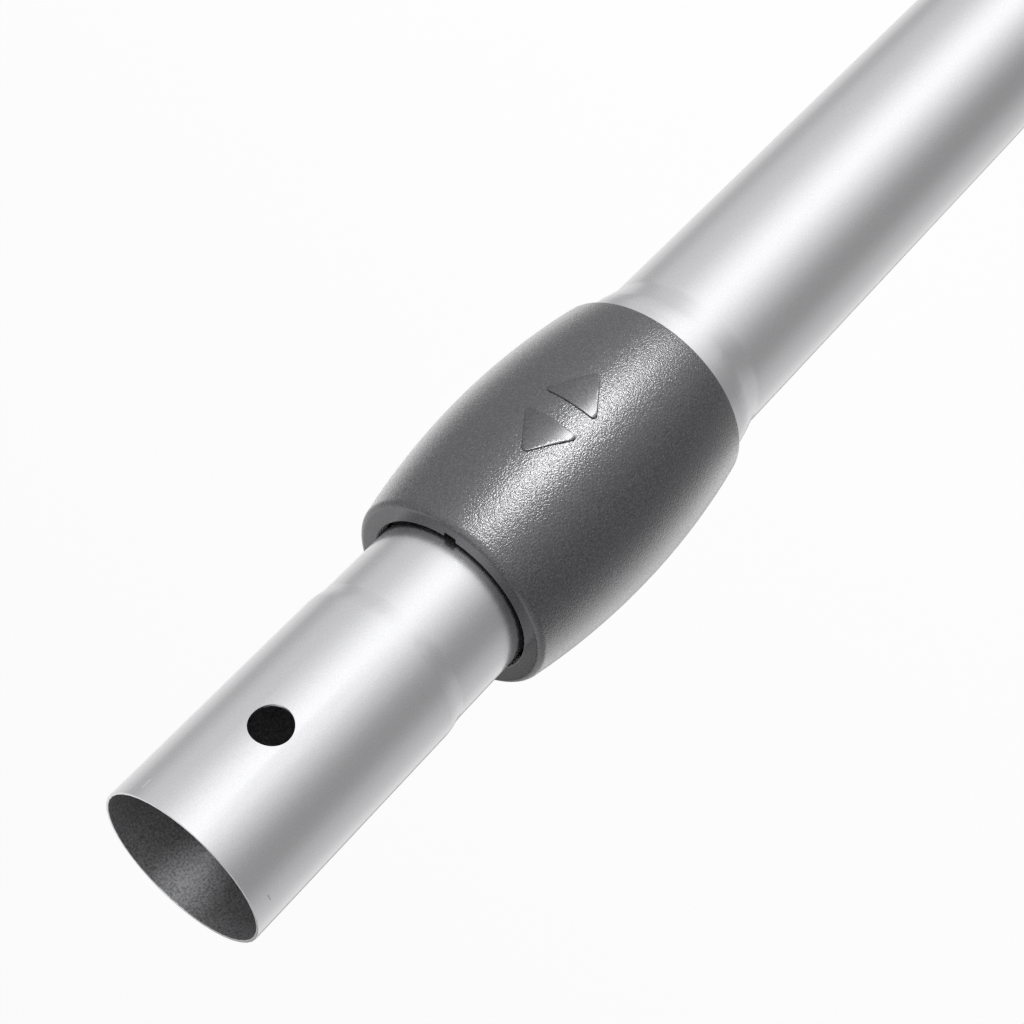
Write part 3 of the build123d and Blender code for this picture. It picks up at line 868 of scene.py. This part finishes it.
class WAND_OT_leaf_spring(bpy.types.Operator):
    """Bend the leaf spring that presses the roller into its notch"""

    bl_idname = "wand.leaf_spring"
    bl_label = "Leaf spring"

    def execute(self, context):
        shape = context.scene.wand_shape
        steel = plain_finish("blued_leaf_steel")
        low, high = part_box("leaf_spring")
        inner = low.y + shape.leaf_thickness
        bpy.ops.object.select_all(action="DESELECT")
        bpy.ops.mesh.primitive_grid_add(
            x_subdivisions=2, y_subdivisions=LEAF_STEPS, size=1, rotation=(math.pi / 2, 0, 0),
            location=(0, inner, shape.lock_height),
        )
        bpy.ops.transform.resize(value=(shape.leaf_width, 1, shape.leaf_length))
        piece = settle("leaf_spring_strip")
        add_ears(piece, shape, high.x)
        bend_feet(piece, shape)
        finish_mesh(piece, steel)
        apply_modifier(piece, "SOLIDIFY", thickness=shape.leaf_thickness, offset=1)
        apply_modifier(
            piece, "BEVEL", width=shape.leaf_thickness / 6, segments=2, limit_method="ANGLE",
        )
        bpy.ops.object.shade_smooth_by_angle(angle=SMOOTH_ANGLE)
        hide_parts("leaf_spring")
        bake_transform(piece)
        return {"FINISHED"}


def dress(material, *nodes):
    """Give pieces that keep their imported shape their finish."""
    for node in nodes:
        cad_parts[node].material_slots[0].material = material


class WAND_OT_fixed_pieces(bpy.types.Operator):
    """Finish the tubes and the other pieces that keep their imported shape"""

    bl_idname = "wand.fixed_pieces"
    bl_label = "Tubes and inside pieces"

    def execute(self, context):
        dress(tube_lacquer(context.scene.wand_finish), "inner_tube", "outer_tube")
        black = plain_finish("black_moulded_plastic")
        dress(black, "cam_ring", "spring_stop_ring", "collar_end_ring")
        slippery = plain_finish("slippery_sleeve_plastic")
        dress(slippery, "guide_sleeve", "glide_shoe_left", "glide_shoe_right")
        dress(plain_finish("black_rubber"), "wiper_ring", "seal_ring")
        dress(plain_finish("ground_roller_steel"), "locking_roller")
        return {"FINISHED"}


def studio_floor(size):
    """A white floor that the camera sees as nearly white and that still takes soft shadows."""
    bpy.ops.mesh.primitive_circle_add(vertices=FLOOR_SIDES, radius=size / 2, fill_type="NGON")
    floor = bpy.context.object
    floor.name = "studio_floor"
    material, start = new_material("floor_white")
    paint = start.node("ShaderNodeBsdfDiffuse", {"Color": (0.9, 0.9, 0.9, 1)})
    glow = start.node("ShaderNodeEmission", {"Color": (1, 1, 1, 1), "Strength": 1.0})
    seen = start.node("ShaderNodeLightPath", output="Is Camera Ray")
    shader = start.node("ShaderNodeMixShader", {0: seen * FLOOR_GLOW, 1: paint, 2: glow})

    # seen from below, it is clear
    below = start.node("ShaderNodeNewGeometry", output="Backfacing")
    clear = start.node("ShaderNodeBsdfTransparent")
    shader = start.node("ShaderNodeMixShader", {0: below, 1: shader, 2: clear})
    start.output("ShaderNodeOutputMaterial", "Surface", shader)
    floor.data.materials.append(material)
    floor.visible_glossy = False


def studio_walls(level):
    """The world: white to the camera, and soft bands of light round the wand to all other rays."""
    world = bpy.data.worlds.new("studio")
    bpy.context.scene.world = world
    world.use_nodes = True
    world.node_tree.nodes.clear()
    start = Signal(world.node_tree)
    direction = start.node("ShaderNodeTexCoord", output="Generated")
    x = start.node("ShaderNodeSeparateXYZ", {0: direction}, output="X")
    y = start.node("ShaderNodeSeparateXYZ", {0: direction}, output="Y")
    turn = start.math("ARCTAN2", x * -1, y * -1) / (2 * math.pi) + 0.5
    stops = [(angle / 360 + 0.5, brightness / BAND_LIMIT) for angle, brightness in STUDIO_BANDS]
    bands = start.node("ShaderNodeValToRGB", {0: turn}, stops=stops)
    walls = start.node("ShaderNodeBackground", {"Color": bands, "Strength": BAND_LIMIT * level})
    white = start.node("ShaderNodeBackground", {"Color": (1, 1, 1, 1), "Strength": 1.0})
    seen = start.node("ShaderNodeLightPath", output="Is Camera Ray")
    shader = start.node("ShaderNodeMixShader", {0: seen, 1: walls, 2: white})
    start.output("ShaderNodeOutputWorld", "Surface", shader)


def studio_lamp(name, place, target, size, power):
    """A rectangular lamp at a place, turned to its target, that the camera doesn't see."""
    aim = (target - place).to_track_quat("-Z", "Y").to_euler()
    bpy.ops.object.light_add(type="AREA", location=place, rotation=aim)
    lamp = bpy.context.object
    lamp.name = name
    lamp.data.shape = "RECTANGLE"
    lamp.data.size, lamp.data.size_y = size
    lamp.data.energy = power
    lamp.visible_camera = False
    return lamp


def collar_lights(strip_power):
    """The strip light in front and the two rim lights behind, which light the collar alone."""
    target = Vector((0, 0, STRIP_PLACE.z))
    lamps = [studio_lamp("strip_light", STRIP_PLACE, target, STRIP_SIZE, strip_power)]
    height = STRIP_SIZE[1]
    for name, angle, width, brightness in RIM_LIGHTS:
        away = Matrix.Rotation(-math.radians(angle), 3, "Z") @ Vector((0, -RIM_DISTANCE, 0))
        power = brightness * math.pi * width * height
        lamps.append(studio_lamp(name, target + away, target, (width, height), power))
    lit = bpy.data.collections.new("lit_by_collar_lights")
    lit.objects.link(bpy.data.objects["collar_shell"])
    for lamp in lamps:
        lamp.light_linking.receiver_collection = lit


def photo_camera(scene):
    """The camera where the photograph was taken from."""
    up = CAMERA_RIGHT.cross(CAMERA_AIM)
    turn = Matrix((CAMERA_RIGHT, up, -CAMERA_AIM)).transposed().to_euler()
    place = CAMERA_PLACE + Vector((0, 0, nozzle_height))
    bpy.ops.object.camera_add(location=place, rotation=turn)
    camera = bpy.context.object
    camera.name = "photo_camera"
    camera.data.lens = CAMERA_LENS
    camera.data.sensor_width = CAMERA_SENSOR
    camera.data.clip_start = 0.01
    camera.data.clip_end = 40
    scene.camera = camera


class WAND_OT_studio(bpy.types.Operator):
    """Set the floor, the light and the camera"""

    bl_idname = "wand.studio"
    bl_label = "Studio"

    def execute(self, context):
        light = context.scene.studio_light
        bpy.ops.object.select_all(action="DESELECT")
        studio_floor(light.floor_size)
        studio_walls(light.studio_level)
        softbox = studio_lamp(
            "softbox", SOFTBOX_PLACE, SOFTBOX_TARGET, SOFTBOX_SIZE, light.lamp_power,
        )
        softbox.visible_glossy = False
        collar_lights(light.strip_power)
        photo_camera(context.scene)
        context.scene.view_settings.view_transform = "Standard"
        return {"FINISHED"}


class WAND_PT_sidebar(bpy.types.Panel):
    """A button for each operator"""

    bl_idname = "WAND_PT_sidebar"
    bl_label = "Telescopic wand"
    bl_space_type = "VIEW_3D"
    bl_region_type = "UI"
    bl_category = "Wand"

    def draw(self, context):
        for operator in OPERATORS:
            self.layout.operator(operator.bl_idname)


OPERATORS = (
    WAND_OT_fixed_pieces, WAND_OT_slide_collar, WAND_OT_coil_springs, WAND_OT_leaf_spring,
    WAND_OT_studio,
)
CLASSES = (WandShape, WandFinish, StudioLight, *OPERATORS, WAND_PT_sidebar)


def register():
    """Add the classes, and give each scene the wand's sizes, finishes and light."""
    for cls in CLASSES:
        bpy.utils.register_class(cls)
    bpy.types.Scene.wand_shape = bpy.props.PointerProperty(type=WandShape)
    bpy.types.Scene.wand_finish = bpy.props.PointerProperty(type=WandFinish)
    bpy.types.Scene.studio_light = bpy.props.PointerProperty(type=StudioLight)


def unregister():
    """Take away what register added."""
    del bpy.types.Scene.studio_light
    del bpy.types.Scene.wand_finish
    del bpy.types.Scene.wand_shape
    for cls in reversed(CLASSES):
        bpy.utils.unregister_class(cls)


def main():
    """Build the wand and its studio."""
    register()
    bpy.ops.wand.fixed_pieces()
    bpy.ops.wand.slide_collar()
    bpy.ops.wand.coil_springs()
    bpy.ops.wand.leaf_spring()
    bpy.ops.wand.studio()


if __name__ == "__main__":
    main()
